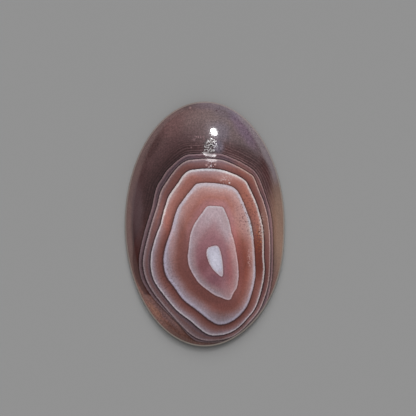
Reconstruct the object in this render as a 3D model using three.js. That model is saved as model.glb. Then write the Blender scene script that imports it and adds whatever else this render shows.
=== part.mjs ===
// Banded agate cabochon: one solid oval stone with a flat lapped back, a narrow girdle and a polished dome.
// Millimetres, +Z up. The stone lies on its flat back, which is in the plane z = 0, and the origin is
// the middle of that back. +Y runs along the stone's length and +X across its width.

import * as THREE from "three";

// Driving dimensions of the stone
const LENGTH = 46;
const WIDTH = 30;
const THICKNESS = 7.5;

// The bevel ground round the edge of the back, at 45 degrees
const BACK_BEVEL = 0.4;

// The girdle is the band that a bezel would grip. It leans in towards the dome.
const GIRDLE_TOP = 1.4;
const GIRDLE_LEAN = 0.28;

// The dome is the top of an ellipsoid, cut a little above its middle, so that the dome meets the girdle
// steeply but not upright. The cut is given as a share of the ellipsoid's height above its middle.
const DOME_CUT = 0.247;

// The oval was ground by hand and is a little full on one side, round this direction from the middle.
const FULL_DEPTH = 0.4;
const FULL_MIDDLE = THREE.MathUtils.degToRad(-42);
const FULL_REACH = THREE.MathUtils.degToRad(42);

// Fineness of the faceted surface
const STEPS_ROUND = 84;
const STEPS_UP = 20;

// Worked out from the dimensions above
const HALF_LENGTH = LENGTH / 2;
const HALF_WIDTH = WIDTH / 2;
const SHOULDER = HALF_WIDTH - GIRDLE_LEAN;
const ELLIPSOID_HEIGHT = (THICKNESS - GIRDLE_TOP) / (1 - DOME_CUT);
const ELLIPSOID_MIDDLE = THICKNESS - ELLIPSOID_HEIGHT;

// Colour of the stone seen from a step away, and its polish
const STONE_COLOUR = 0x94685f;
const STONE_ROUGHNESS = 0.12;

// How far the full side lies outside the true oval, in the given direction from the middle of the stone
function fullness(direction) {
  const away = Math.abs(direction - FULL_MIDDLE) / FULL_REACH;
  if (away >= 1) {
    return 0;
  }
  return FULL_DEPTH * Math.cos((Math.PI / 2) * away) ** 2;
}

// A point of the stone's widest outline, moved in by `inset` at right angles to the edge
function outlinePoint(turn, inset) {
  const point = new THREE.Vector2(HALF_WIDTH * Math.cos(turn), HALF_LENGTH * Math.sin(turn));
  const inwards = new THREE.Vector2(-HALF_LENGTH * Math.cos(turn), -HALF_WIDTH * Math.sin(turn));
  inwards.normalize();
  const fuller = fullness(Math.atan2(point.y, point.x)) / point.length();
  return point.multiplyScalar(1 + fuller).addScaledVector(inwards, inset);
}

// Half of the stone's cross-section at its width, from the middle of the back round to the top of the dome.
// x is the distance from the axis and y the height.
function crossSection() {
  const points = [
    new THREE.Vector2(0, 0),
    new THREE.Vector2(HALF_WIDTH - BACK_BEVEL, 0),
    new THREE.Vector2(HALF_WIDTH, BACK_BEVEL),
  ];
  const lowest = Math.asin(DOME_CUT);
  for (let step = 0; step <= STEPS_UP; step++) {
    const rise = THREE.MathUtils.lerp(lowest, Math.PI / 2, step / STEPS_UP);
    const reach = step < STEPS_UP ? (SHOULDER * Math.cos(rise)) / Math.cos(lowest) : 0;
    const height = ELLIPSOID_MIDDLE + ELLIPSOID_HEIGHT * Math.sin(rise);
    points.push(new THREE.Vector2(reach, height));
  }
  return points;
}

// Turns the cross-section into a round stone, then moves each point out to the oval. The bevel and the
// girdle keep their width all round, and the dome is stretched over the oval that the girdle leaves.
function cabochonGeometry() {
  const geometry = new THREE.LatheGeometry(crossSection(), STEPS_ROUND);
  geometry.rotateX(Math.PI / 2);
  const position = geometry.getAttribute("position");
  for (let i = 0; i < position.count; i++) {
    const turn = Math.atan2(position.getY(i), position.getX(i));
    const radius = Math.hypot(position.getX(i), position.getY(i));
    const edge = outlinePoint(turn, HALF_WIDTH - Math.max(radius, SHOULDER));
    edge.multiplyScalar(Math.min(radius / SHOULDER, 1));
    position.setXY(i, edge.x, edge.y);
  }
  geometry.computeVertexNormals();
  return geometry;
}

function polishedAgate() {
  return new THREE.MeshStandardMaterial({ color: STONE_COLOUR, roughness: STONE_ROUGHNESS, metalness: 0 });
}

function agateCabochon() {
  const stone = new THREE.Mesh(cabochonGeometry(), polishedAgate());
  stone.name = "agate_cabochon";
  return stone;
}

const part = new THREE.Group();
part.add(agateCabochon());

export default part;
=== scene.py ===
"""A banded agate cabochon, polished, lying on its flat back.

The stone is one closed mesh: a dome, a rounded arris, a narrow girdle, a bevel and a flat lapped back. The
bands are drawn as they were laid down in the stone, each one inside the last, and they run on through its
sides and back. Sizes of the stone are in metres. The drawing of the bands is in millimetres from the middle
of the stone.
"""

import math
from collections import namedtuple

import bpy
import numpy as np
from bpy.props import FloatProperty, FloatVectorProperty, PointerProperty
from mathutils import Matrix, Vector, noise


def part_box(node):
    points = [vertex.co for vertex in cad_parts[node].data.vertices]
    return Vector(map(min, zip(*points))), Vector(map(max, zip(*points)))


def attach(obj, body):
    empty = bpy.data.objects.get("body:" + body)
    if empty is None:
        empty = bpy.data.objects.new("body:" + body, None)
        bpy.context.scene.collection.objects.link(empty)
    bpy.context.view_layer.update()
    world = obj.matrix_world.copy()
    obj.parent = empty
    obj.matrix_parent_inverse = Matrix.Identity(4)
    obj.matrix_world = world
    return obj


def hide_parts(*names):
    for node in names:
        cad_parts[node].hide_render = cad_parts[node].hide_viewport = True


bl_info = {
    "name": "Banded Agate Cabochon",
    "version": (1, 0, 0),
    "blender": (4, 5, 0),
    "location": "3D View > Sidebar > Agate",
    "description": "Cuts and polishes an oval banded agate and lays it on a pale floor",
    "category": "Add Mesh",
}

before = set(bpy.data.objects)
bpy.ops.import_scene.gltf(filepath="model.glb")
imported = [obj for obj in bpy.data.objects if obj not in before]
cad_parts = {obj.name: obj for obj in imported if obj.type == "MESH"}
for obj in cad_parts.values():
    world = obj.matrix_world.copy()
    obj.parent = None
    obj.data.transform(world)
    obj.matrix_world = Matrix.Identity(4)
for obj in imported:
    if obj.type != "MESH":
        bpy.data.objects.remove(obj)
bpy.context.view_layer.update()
STONE_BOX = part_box("agate_cabochon")

MM = 0.001

# How light bends in agate, and the power that turns a share of brightness on a screen into one of light
REFRACTIVE_INDEX = 1.54
SCREEN_GAMMA = 2.2

# Reach of the floor to either side and its squares, how far off the lights are drawn, and the heights, as
# shares of straight up, between which the room grows lighter
FLOOR_REACH = 3.0
FLOOR_SQUARES = 12
LIGHT_DISTANCE = 0.5
ROOM_HEIGHTS = (0.05, 0.5)

# Width of the camera's sensor in millimetres, and the distances between which it sees
SENSOR_WIDTH = 36.0
NEAREST_SEEN = 0.05
FARTHEST_SEEN = 20.0

# The stone's overall size comes from the frame.
HALF_WIDTH = (STONE_BOX[1].x - STONE_BOX[0].x) / 2
HALF_LENGTH = (STONE_BOX[1].y - STONE_BOX[0].y) / 2
THICKNESS = STONE_BOX[1].z - STONE_BOX[0].z

# Fineness of the mesh: squares across and along the dome and the back
ACROSS = 160
ALONG = 246

# Rings of points on the girdle, as shares of the way down from its top, and the rounding of the corners below
# it, as a share of the rounding at its top
GIRDLE_RINGS = (0.4, 0.7)
LOWER_ROUNDING = 0.8

# The angle up the dome's ellipsoid, in radians, from its foot to the point that gives its slope there
NEAR_FOOT = 0.04

# Length of the polishing waves, how much shorter the finer ones among them are, and the shares of the dome's
# radius and of the stone's thickness over which they fade out at the foot and at the top
WAVE_LENGTH = 0.0065
FINER_WAVES = 2.3
FADE_AT_FOOT = 0.125
FADE_AT_TOP = 0.02

# Rings of points below the dome's foot over which the polish gives way to the ground girdle
POLISHED_RINGS = 3

# On the flat map the dome is drawn this much wider than it is, and the back lies this far beside it. The map
# is scaled to a square and keeps this share of it free along each side.
DOME_UNROLLED = 1.10
MAP_GAP = 0.003
MAP_MARGIN = 0.01

Surface = namedtuple("Surface", "points faces ground depth flat_map")


# colours and sizes that a user would change


def seen_colour(red, green, blue):
    """A colour given as it looks on a screen, 0 to 255, as linear values."""
    return tuple(
        (part / 255 / 12.92) if part <= 10 else ((part / 255 + 0.055) / 1.055) ** 2.4
        for part in (red, green, blue)
    )


def colour_property(name, description, red, green, blue):
    return FloatVectorProperty(
        name=name,
        description=description,
        subtype="COLOR",
        size=3,
        min=0.0,
        max=1.0,
        default=seen_colour(red, green, blue),
    )


def length_property(name, description, default):
    return FloatProperty(
        name=name,
        description=description,
        default=default,
        min=0.0,
        precision=5,
        unit="LENGTH",
    )


def angle_property(name, description, degrees):
    return FloatProperty(name=name, description=description, default=math.radians(degrees), subtype="ANGLE")


def strength_property(name, description, default):
    return FloatProperty(name=name, description=description, default=default, min=0.0)


class AgateCut(bpy.types.PropertyGroup):
    """How the stone is cut"""

    back_bevel: length_property("Back bevel", "Width of the bevel round the edge of the back", 0.0004)
    girdle_top: length_property("Girdle top", "Height at which the girdle meets the dome", 0.0014)
    girdle_lean: length_property("Girdle lean", "How far the girdle leans in towards the dome", 0.00028)
    arris: length_property("Arris", "How far back from a corner its rounding starts", 0.00012)
    dome_cut: FloatProperty(
        name="Dome cut",
        description="Where the dome's ellipsoid is cut, as a share of its height above its middle",
        default=0.247,
        min=0.0,
        max=0.9,
    )
    full_depth: length_property("Full side", "How far the full side lies outside the true oval", 0.0004)
    full_middle: angle_property("Full side, direction", "Direction of the full side from the middle", -42)
    full_reach: angle_property("Full side, reach", "How far the full side reaches to either hand", 42)
    waviness: length_property("Waviness", "Height of the slow waves that hand polishing leaves", 0.000012)


class AgateColours(bpy.types.PropertyGroup):
    """The colours in the stone"""

    rind_dark: colour_property("Rind, dark", "Left side of the rind, next to the first line", 55, 34, 35)
    rind_middle: colour_property("Rind, middle", "Left side of the rind, half way out", 78, 55, 56)
    rind_light: colour_property("Rind, light", "Left side of the rind, far out", 102, 79, 78)
    smoke_dark: colour_property("Smoke, dark", "Right side of the rind, next to the first line", 74, 50, 51)
    smoke_middle: colour_property("Smoke, middle", "Right side of the rind, half way out", 100, 84, 86)
    smoke_light: colour_property("Smoke, light", "Right side of the rind, far out", 112, 96, 96)
    # Painted reflection of the grey floor on the steep left side of the rind
    pewter: colour_property("Pewter", "Greyed rind along the left side", 88, 68, 71)
    rosewood: colour_property("Rosewood", "Reddish cloud in the rind at the upper left", 104, 72, 72)
    # Painted reflection of the floor along the upper right rim, and a painted pale halo round the lamp's
    # reflection
    lavender: colour_property("Lavender", "Pale rim along the upper right", 134, 122, 128)
    # Painted reflection: the bluish haze of the lamp's light round its reflection on the polish
    bloom: colour_property("Bloom", "Bluish bloom on the polish below the lamp's reflection", 110, 103, 116)
    heather: colour_property("Heather", "Violet cloud in the rind", 110, 90, 114)
    # Partly the rind's own rosy brown, partly painted reflection of the floor along the steep right edge
    fawn: colour_property("Fawn", "Rosy brown rind on the right", 139, 109, 93)
    umber: colour_property("Umber", "Orange-brown rind at the lower left", 129, 88, 78)
    apricot: colour_property("Apricot", "Orange streak at the lower left", 162, 112, 88)
    bark: colour_property("Bark", "Dull brown rind at the lower end", 92, 62, 55)
    # Painted shade and dark reflection in the pits and under the flat spot below the lamp's reflection
    pitch: colour_property("Pitch", "Tiny dark pits above the first line", 36, 26, 32)
    maroon: colour_property("Maroon", "Dark red rind on the left", 74, 40, 38)
    # Painted reflection of the floor and painted light through the thin edge, on the steep left side
    left_rim_sheen: colour_property("Sable", "Brown rim along the left side", 118, 90, 86)
    dusk: colour_property("Dusk", "The first line, upper right", 140, 110, 112)
    slate: colour_property("Slate", "The first line, lower left", 120, 99, 104)
    grape: colour_property("Grape", "Between the first two lines", 104, 80, 86)
    plum: colour_property("Plum", "Dark gaps between the first two lines", 72, 52, 58)
    ash: colour_property("Ash", "The second line, upper right", 176, 146, 142)
    dove: colour_property("Dove", "The second line, lower left", 148, 127, 131)
    chalk: colour_property("Chalk", "The whitest line, upper right", 207, 192, 191)
    frost: colour_property("Frost", "The whitest line, lower left", 188, 176, 184)
    pearl: colour_property("Pearl", "The broad pale line, upper right", 189, 175, 182)
    lilac: colour_property("Lilac", "The broad pale line, lower left", 169, 158, 175)
    shell: colour_property("Shell", "Behind the pale lines, upper right", 178, 152, 152)
    dawn: colour_property("Dawn", "Line round the inner field, lower left", 175, 154, 162)
    haze: colour_property("Haze", "Behind the pale lines, lower left", 151, 136, 146)
    opal: colour_property("Opal", "Behind the broad pale line, upper right", 185, 165, 169)
    petal: colour_property("Petal", "Pale flesh", 182, 146, 143)
    coral: colour_property("Coral", "Light flesh of the broad band", 172, 126, 121)
    salmon: colour_property("Salmon", "Light flesh of the bands", 163, 109, 100)
    terracotta: colour_property("Terracotta", "Middle of the bands", 148, 95, 87)
    mist: colour_property("Mist", "Greyed flesh at the lower left", 139, 110, 114)
    cedar: colour_property("Cedar", "Brown flesh at the lower left", 128, 90, 88)
    copper: colour_property("Copper", "Orange flesh on the right", 156, 94, 76)
    clay: colour_property("Clay", "Darker flesh", 128, 80, 73)
    brick: colour_property("Brick", "Inner parts of the bands", 115, 70, 65)
    sienna: colour_property("Sienna", "Inner edge of the bands", 106, 62, 58)
    oxblood: colour_property("Oxblood", "Darkest flesh and the seam in front of a line", 88, 50, 49)
    taupe: colour_property("Taupe", "Pale part of the second band", 120, 97, 101)
    cocoa: colour_property("Cocoa", "Flesh of the second band", 112, 80, 79)
    orchid: colour_property("Orchid", "Pale end of the inner field", 178, 157, 164)
    rose: colour_property("Rose", "Flesh of the inner field", 160, 123, 128)
    blush: colour_property("Blush", "Pink flesh outside the inner field", 168, 117, 118)
    mauve: colour_property("Mauve", "Round the core", 151, 108, 115)
    mulberry: colour_property("Mulberry", "The inner field at the lower left", 131, 85, 93)
    milk: colour_property("Milk", "The core", 182, 177, 192)
    snow: colour_property("Snow", "Brightest part of the core", 206, 204, 219)
    ember: colour_property("Ember", "The red glow along the right side", 118, 56, 44)
    rust: colour_property("Rust", "Iron-stained grains", 158, 94, 58)
    ground: colour_property("Ground edge", "The unpolished girdle", 200, 188, 176)


class AgateStudio(bpy.types.PropertyGroup):
    """Floor, lights and camera"""

    floor: colour_property("Floor", "Pale paper under the stone", 146, 146, 146)
    lamp_height: angle_property("Lamp height", "Angle of the lamp above the floor", 46.6)
    lamp_bearing: angle_property("Lamp bearing", "Direction of the lamp seen from above, from +X", 77)
    lamp_width: angle_property("Lamp width", "How wide the lamp looks from the stone", 6)
    lamp_strength: strength_property("Lamp", "Strength of the lamp", 0.45)
    soft_light_height: angle_property("Soft light height", "Angle of the soft light above the floor", 48)
    soft_light_bearing: angle_property("Soft light bearing", "Direction of the soft light, from +X", 92)
    soft_light_width: angle_property("Soft light width", "How wide the soft light looks from the stone", 46)
    soft_light_strength: strength_property("Soft light", "Strength of the soft light", 2.48)
    fill_height: angle_property("Fill height", "Angle of the weak fill light above the floor", 25)
    fill_bearing: angle_property("Fill bearing", "Direction of the fill light, from +X", 268)
    fill_width: angle_property("Fill width", "How wide the fill light looks from the stone", 70)
    fill_strength: strength_property("Fill", "Strength of the fill light from the near side", 0.6)
    room_low: strength_property("Room, low", "Brightness of the room at the height of the stone", 0.04)
    room_high: strength_property("Room, high", "Brightness of the room above the stone", 0.24)
    camera_height: length_property("Camera height", "Height of the camera above the floor", 1.0)
    view_width: length_property("View width", "Width of the floor that the picture shows", 0.07812)
    view_x: length_property("View, x", "Middle of the picture", 0.00062)
    view_y: length_property("View, y", "Middle of the picture", 0.00299)


# the shape of the stone


def fullness(cut, direction):
    """How far the full side lies outside the true oval, for each direction from the middle of the stone."""
    away = np.abs(direction - cut.full_middle) / cut.full_reach
    return np.where(away < 1, cut.full_depth * np.cos(math.pi / 2 * np.minimum(away, 1)) ** 2, 0)


def outline_points(cut, turn, inset):
    """Points of the stone's widest outline, moved in by inset at right angles to the edge."""
    points = np.stack([HALF_WIDTH * np.cos(turn), HALF_LENGTH * np.sin(turn)], -1)
    inwards = np.stack([-HALF_LENGTH * np.cos(turn), -HALF_WIDTH * np.sin(turn)], -1)
    inwards /= np.linalg.norm(inwards, axis=-1, keepdims=True)
    fuller = fullness(cut, np.arctan2(points[..., 1], points[..., 0])) / np.linalg.norm(points, axis=-1)
    return points * (1 + fuller)[..., None] + inwards * np.asarray(inset)[..., None]


def place_round_stone(cut, turn, radius):
    """Moves points of a round stone, given by turn and radius, out to the oval."""
    shoulder = HALF_WIDTH - cut.girdle_lean
    edge = outline_points(cut, turn, HALF_WIDTH - np.maximum(radius, shoulder))
    return edge * np.minimum(radius / shoulder, 1)[..., None]


class Dome:
    """The ellipsoid that the dome is cut from."""

    def __init__(self, cut):
        self.shoulder = HALF_WIDTH - cut.girdle_lean
        self.lowest = math.asin(cut.dome_cut)
        self.height = (THICKNESS - cut.girdle_top) / (1 - cut.dome_cut)
        self.middle = THICKNESS - self.height

    def at(self, rise):
        """Radius and height at an angle of rise, from the shoulder up to a quarter turn at the top."""
        return self.shoulder * np.cos(rise) / math.cos(self.lowest), self.middle + self.height * np.sin(rise)


def rounded_corner(before, corner, after, reach, steps=4):
    """A rounding of a corner of the profile, which starts and ends at this reach from it."""
    corner = Vector(corner)
    start = corner + (Vector(before) - corner).normalized() * reach
    end = corner + (Vector(after) - corner).normalized() * reach
    points = []
    for step in range(steps + 1):
        share = step / steps
        points.append(start.lerp(corner, share).lerp(corner.lerp(end, share), share))
    return points


def edge_profile(cut, dome):
    """Radius and height of the rings from the foot of the dome down to the rim of the flat back."""
    near_foot = dome.at(dome.lowest + NEAR_FOOT)
    foot = (dome.shoulder, cut.girdle_top)
    belt = (HALF_WIDTH, cut.back_bevel)
    rim = (HALF_WIDTH - cut.back_bevel, 0.0)
    profile = rounded_corner(near_foot, foot, belt, cut.arris)
    profile += [Vector(foot).lerp(Vector(belt), share) for share in GIRDLE_RINGS]
    profile += rounded_corner(foot, belt, rim, cut.arris * LOWER_ROUNDING)
    profile += rounded_corner(belt, rim, (0.0, 0.0), cut.arris * LOWER_ROUNDING)
    return profile


def round_grid():
    """A square grid bent into a disc of radius 1, as turn and radius of its points, row by row."""
    u, v = np.meshgrid(np.linspace(-1, 1, ACROSS + 1), np.linspace(-1, 1, ALONG + 1))
    x, y = u * np.sqrt(1 - v * v / 2), v * np.sqrt(1 - u * u / 2)
    return np.arctan2(y, x).ravel(), np.minimum(np.hypot(x, y), 1).ravel()


def grid_border():
    """Indices of the grid's border, anticlockwise from its first corner."""
    index = np.arange((ACROSS + 1) * (ALONG + 1)).reshape(ALONG + 1, ACROSS + 1)
    return np.concatenate([index[0, :-1], index[:-1, -1], index[-1, :0:-1], index[:0:-1, 0]])


def grid_faces(first, upwards):
    """Faces of a grid. The squares at its four corners are split, since three of their points lie on the
    rim."""
    index = first + np.arange((ACROSS + 1) * (ALONG + 1)).reshape(ALONG + 1, ACROSS + 1)
    quads = np.stack([index[:-1, :-1], index[:-1, 1:], index[1:, 1:], index[1:, :-1]], -1)
    faces = []
    for row in range(ALONG):
        for column in range(ACROSS):
            a, b, c, d = (int(corner) for corner in quads[row, column])
            at_ends = row in (0, ALONG - 1) and column in (0, ACROSS - 1)
            if not at_ends:
                faces.append((a, b, c, d))
            elif (row == 0) == (column == 0):
                faces += [(a, b, c), (a, c, d)]
            else:
                faces += [(a, b, d), (b, c, d)]
    return faces if upwards else [face[::-1] for face in faces]


def ring_faces(upper, lower):
    """Faces between two rings of points that run anticlockwise."""
    after_upper, after_lower = np.roll(upper, -1), np.roll(lower, -1)
    return [tuple(int(i) for i in face) for face in zip(upper, lower, after_lower, after_upper)]


def slow_waves(x, y, height):
    """The slow unevenness of hand polishing at one place of the dome."""
    place = Vector((x / WAVE_LENGTH, y / WAVE_LENGTH, 3.7))
    finer = place * FINER_WAVES + Vector((5.1, 1.3, 0.0))
    return height * (noise.noise(place) + 0.5 * noise.noise(finer))


def dome_points(cut, dome, turn, share, foot_height):
    """Points of the polished dome. Its waves fade out towards the foot and the very top, so that both keep
    their heights."""
    foot_rise = math.asin((foot_height - dome.middle) / dome.height)
    rise = math.pi / 2 - share * (math.pi / 2 - foot_rise)
    radius, height = dome.at(rise)
    flat = place_round_stone(cut, turn, radius)
    waves = np.array([slow_waves(x, y, cut.waviness) for x, y in flat])
    above_foot = np.clip((1 - share) / FADE_AT_FOOT, 0, 1)
    below_top = np.clip((THICKNESS - height) / (FADE_AT_TOP * THICKNESS), 0, 1)
    height = height + (waves - np.abs(waves).max()) * (above_foot * below_top)
    return np.column_stack([flat, height])


def depth_below_dome(dome, points, dome_count):
    """How far each point lies below the dome. The first points are the dome's own."""
    reach = np.minimum(np.hypot(points[:, 0] / HALF_WIDTH, points[:, 1] / HALF_LENGTH), 1)
    over = np.sqrt(1 - (reach * math.cos(dome.lowest)) ** 2)
    depth = np.maximum(dome.middle + dome.height * over - points[:, 2], 0)
    depth[:dome_count] = 0
    return depth


def unrolled(cut, points, profile, turn, share, border):
    """The surface laid flat: the dome with its edge rolled out round it, and beside it the back, seen
    through."""
    count = len(turn)
    flat = np.zeros((len(points), 2))
    outer = outline_points(cut, turn, np.zeros(count))
    flat[:count] = outer * (share * DOME_UNROLLED)[:, None]
    rolled = 0.0
    first = count
    rim = outer[border] * DOME_UNROLLED
    outwards = rim / np.linalg.norm(rim, axis=1, keepdims=True)
    for before, after in zip(profile, profile[1:-1]):
        rolled += (after - before).length
        flat[first : first + len(border)] = rim + outwards * rolled
        first += len(border)
    back_middle = HALF_WIDTH * DOME_UNROLLED + rolled + MAP_GAP + HALF_WIDTH
    flat[first:] = points[first:, :2] * (-1, 1) + (back_middle, 0)
    return flat


def stone_surface(cut):
    """The whole surface of the stone: its points and faces, and for each point how far it is left ground
    rather than polished, its depth below the dome and its place on the flat map of the surface."""
    dome = Dome(cut)
    profile = edge_profile(cut, dome)
    turn, share = round_grid()
    border = grid_border()
    count = len(turn)

    points = [dome_points(cut, dome, turn, share, profile[0][1])]
    ground = [np.zeros(count)]
    faces = grid_faces(0, True)
    ring = border
    first = count
    for level, (radius, height) in enumerate(profile[1:-1]):
        edge = place_round_stone(cut, turn[border], np.full(len(border), radius))
        points.append(np.column_stack([edge, np.full(len(border), height)]))
        ground.append(np.full(len(border), min(level / POLISHED_RINGS, 1.0)))
        below = first + np.arange(len(border))
        faces += ring_faces(ring, below)
        ring = below
        first += len(border)
    back = place_round_stone(cut, turn, share * profile[-1][0])
    points.append(np.column_stack([back, np.zeros(count)]))
    ground.append(np.ones(count))
    faces += ring_faces(ring, first + border)
    faces += grid_faces(first, False)

    points = np.concatenate(points)
    depth = depth_below_dome(dome, points, count)
    flat_map = unrolled(cut, points, profile, turn, share, border)
    return Surface(points, faces, np.concatenate(ground), depth, flat_map)


# the bands

# Each outline is the outer edge of a pale line as it shows on the dome, clockwise from the upper left, in
# millimetres from the middle of the stone. A smooth closed curve runs through the points.
OUTER_LINE = (
    (-3.7, 12.8), (-2.1, 13.05), (2.0, 13.2), (3.5, 13.0), (7.0, 11.45), (9.0, 10.2), (9.95, 9.05),
    (11.5, 5.1), (12.55, 1.0), (12.8, -4.0), (12.65, -9.8), (11.38, -15.55), (8.6, -19.5), (4.9, -21.95),
    (1.0, -22.25), (-1.9, -21.8), (-5.0, -18.65), (-9.65, -13.9), (-11.85, -10.35), (-12.35, -6.9),
    (-11.4, -1.9), (-9.9, 3.05), (-9.0, 6.9), (-7.9, 8.75), (-6.75, 10.35),
)
GREY_LINE = (
    (-3.35, 11.85), (-1.9, 12.1), (0.5, 12.2), (3.2, 12.0), (5.0, 11.35), (8.05, 9.72), (9.1, 8.9),
    (9.9, 7.05), (11.4, 3.05), (12.15, -1.0), (12.3, -6.5), (11.95, -11.35), (10.35, -16.05), (8.6, -18.35),
    (6.2, -20.6), (4.2, -21.55), (1.6, -21.95), (-0.8, -21.7), (-2.45, -20.85), (-6.15, -17.15),
    (-10.0, -12.35), (-11.2, -9.85), (-11.6, -7.0), (-10.55, -1.9), (-8.75, 4.05), (-8.3, 5.9), (-7.3, 7.7),
    (-5.1, 10.6),
)
WHITE_LINE = (
    (-3.0, 9.95), (-1.5, 10.25), (1.4, 10.35), (3.0, 10.15), (5.0, 9.55), (7.0, 8.55), (7.8, 7.9),
    (8.4, 6.75), (9.95, 3.1), (10.9, -0.9), (11.1, -4.4), (11.1, -6.3), (11.25, -8.4), (11.0, -10.75),
    (9.6, -15.55), (7.85, -17.87), (5.9, -19.75), (3.7, -20.72), (0.9, -20.8), (-0.95, -19.65),
    (-2.82, -18.03), (-5.08, -16.32), (-8.5, -12.2), (-9.55, -10.5), (-10.05, -8.6), (-10.1, -6.0),
    (-9.35, -2.9), (-8.3, -0.1), (-8.0, 1.1), (-6.85, 4.95), (-6.2, 6.0), (-5.0, 7.7), (-4.1, 9.05),
)
LILAC_LINE = (
    (-1.65, 7.4), (-0.6, 7.65), (1.0, 7.7), (3.0, 7.5), (4.8, 7.1), (5.9, 6.45), (6.8, 5.0), (8.35, 1.1),
    (8.9, -1.0), (9.45, -7.5), (9.4, -10.35), (8.1, -15.1), (6.78, -16.98), (4.98, -18.34), (3.3, -18.88),
    (1.95, -18.7), (-1.95, -15.8), (-3.9, -14.3), (-5.85, -11.75), (-7.3, -9.65), (-7.75, -7.4),
    (-7.55, -4.9), (-6.25, -0.9), (-5.0, 3.05), (-3.65, 5.0), (-2.45, 6.55),
)
PINK_LINE = (
    (0.3, 3.15), (0.7, 3.38), (1.3, 3.4), (3.3, 3.22), (3.6, 2.95), (3.8, 2.5), (4.55, 0.6), (5.0, -1.4),
    (5.75, -4.2), (6.35, -8.5), (6.3, -10.5), (5.95, -12.05), (5.35, -13.05), (4.95, -14.0), (4.5, -14.25),
    (3.0, -13.78), (1.98, -13.35), (-1.0, -11.12), (-2.0, -9.75), (-2.95, -7.85), (-3.2, -6.4),
    (-2.95, -3.9), (-2.65, -1.9), (-1.95, 0.0), (-0.45, 2.15),
)
CORE_EDGE = (
    (1.05, -4.2), (2.2, -4.0), (2.55, -4.2), (3.15, -5.8), (3.45, -8.6), (3.4, -9.7), (3.2, -9.85),
    (2.25, -9.2), (1.3, -8.15), (0.5, -6.6), (0.3, -5.3), (0.5, -4.55),
)

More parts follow.
